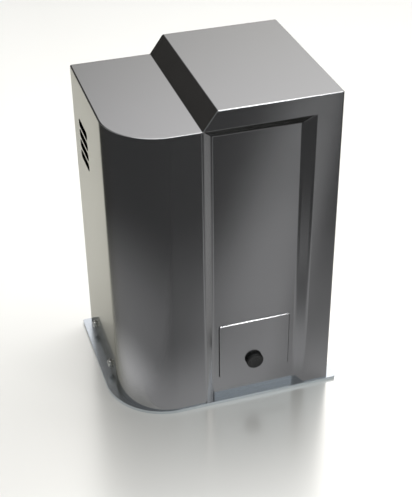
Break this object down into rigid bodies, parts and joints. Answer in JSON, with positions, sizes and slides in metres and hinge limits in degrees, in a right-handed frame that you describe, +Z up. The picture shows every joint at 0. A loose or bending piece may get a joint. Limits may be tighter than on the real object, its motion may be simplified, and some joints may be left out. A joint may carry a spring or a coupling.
{
  "type": "sliding gate gear motor",
  "caption": "Sliding-gate gear motor: sheet-metal cover with a rounded corner and release hatch on a base plate, worm gearbox and motor inside, rack pinion at the back.",
  "frame": {"origin": "underside of the base plate, at the middle of its anchor holes", "axes": "+Z up, -Y to the hatch side, +Y to the rack pinion"},
  "size_m": [0.326, 0.296, 0.468],
  "materials": {
    "cover_paint": "glossy metallic grey",
    "zinc_plate": "bright zinc plated",
    "fastener_steel": "plated",
    "black_plastic": "moulded",
    "black_rubber": "matt",
    "cast_aluminium": "sand cast",
    "machined_steel": "turned and ground",
    "bronze": "machined",
    "copper": "enamelled wire",
    "lamination": "stacked plates",
    "motor_paint": "satin dark grey",
    "red_plastic": "moulded",
    "board_green": "solder resist",
    "terminal_plastic": "moulded",
    "relay_plastic": "moulded",
    "coil_tape": "wrapped tape",
    "can_aluminium": "drawn",
    "bare_sheet": "galvanised sheet",
    "spring_steel": "bright"
  },
  "bodies": {
    "frame": {"base_plate": "zinc_plate", "cable_grommet": "black_rubber", "cover_wall": "cover_paint", "cover_top": "cover_paint", "front_panel": "cover_paint", "cover_brackets": "bare_sheet", "cover_screws": "fastener_steel", "gearbox_housing": "cast_aluminium", "gearbox_cover": "cast_aluminium", "gearbox_cover_bolts": "fastener_steel", "gearbox_foot_bolts": "fastener_steel", "oil_filler_plug": "red_plastic", "output_front_bearing": "machined_steel", "output_rear_bearing": "machined_steel", "output_seal": "black_rubber", "worm_lower_bearing": "machined_steel", "worm_upper_bearing": "machined_steel", "motor_top_bearing": "machined_steel", "release_pivot_pin": "fastener_steel", "stator_core": "lamination", "stator_windings": "copper", "motor_frame": "motor_paint", "motor_end_shield": "motor_paint", "fan_cowl": "motor_paint", "motor_bolts": "fastener_steel", "board_bracket": "bare_sheet", "control_board": "board_green", "board_spacers": "black_plastic", "board_relays": "relay_plastic", "terminal_blocks": "terminal_plastic", "transformer_core": "lamination", "transformer_coil": "coil_tape", "run_capacitor": "can_aluminium", "capacitor_clip": "bare_sheet", "limit_switch_bracket": "bare_sheet", "limit_switch_body": "black_plastic"},
    "rotor": {"worm_shaft": "machined_steel", "rotor_core": "lamination", "motor_fan": "black_plastic"},
    "output": {"output_shaft": "machined_steel", "worm_wheel_hub": "machined_steel", "worm_wheel_rim": "bronze", "pinion": "machined_steel", "pinion_key": "machined_steel", "pinion_washer": "fastener_steel", "pinion_bolt": "fastener_steel"},
    "clutch": {"clutch_collar": "machined_steel", "clutch_pin": "machined_steel", "release_rod": "machined_steel"},
    "lever": {"release_lever": "machined_steel", "lever_grip": "red_plastic"},
    "hatch": {"hatch_door": "cover_paint", "hatch_hinge_pin": "fastener_steel"},
    "knob": {"latch_knob": "black_plastic", "latch_cam": "fastener_steel"},
    "switch": {"limit_switch_lever": "black_plastic", "limit_switch_whip": "spring_steel"}
  },
  "joints": [
    {"name": "rotor_spin", "type": "hinge", "parent": "frame", "child": "rotor", "pos_m": [0.07, 0.02, 0], "axis": [0, 0, 1], "continuous": true},
    {"name": "output_spin", "type": "hinge", "parent": "frame", "child": "output", "pos_m": [0.02, 0, 0.095], "axis": [0, 1, 0], "continuous": true},
    {"name": "lever_pull", "type": "hinge", "parent": "frame", "child": "lever", "pos_m": [0.02, -0.062, 0.095], "axis": [-1, 0, 0], "range_deg": [0, 91]},
    {"name": "clutch_slide", "type": "slide", "parent": "output", "child": "clutch", "axis": [0, 1, 0], "range_m": [0, 0.0055]},
    {"name": "hatch_swing", "type": "hinge", "parent": "frame", "child": "hatch", "pos_m": [0.038, -0.1119, 0.123], "axis": [-1, 0, 0], "range_deg": [0, 105]},
    {"name": "knob_turn", "type": "hinge", "parent": "hatch", "child": "knob", "pos_m": [0.038, -0.1159, 0.062], "axis": [0, 1, 0], "range_deg": [0, 90]},
    {"name": "switch_tilt", "type": "hinge", "parent": "frame", "child": "switch", "pos_m": [0, 0.1235, 0.192], "axis": [0, 1, 0], "range_deg": [-35, 35], "stiffness_Nm_per_rad": 0.3}
  ],
  "couplings": [
    {"joint": "output_spin", "follows": "rotor_spin", "ratio": 0.033333},
    {"joint": "lever_pull", "follows": "clutch_slide", "rad_per_m": 285.6}
  ]
}
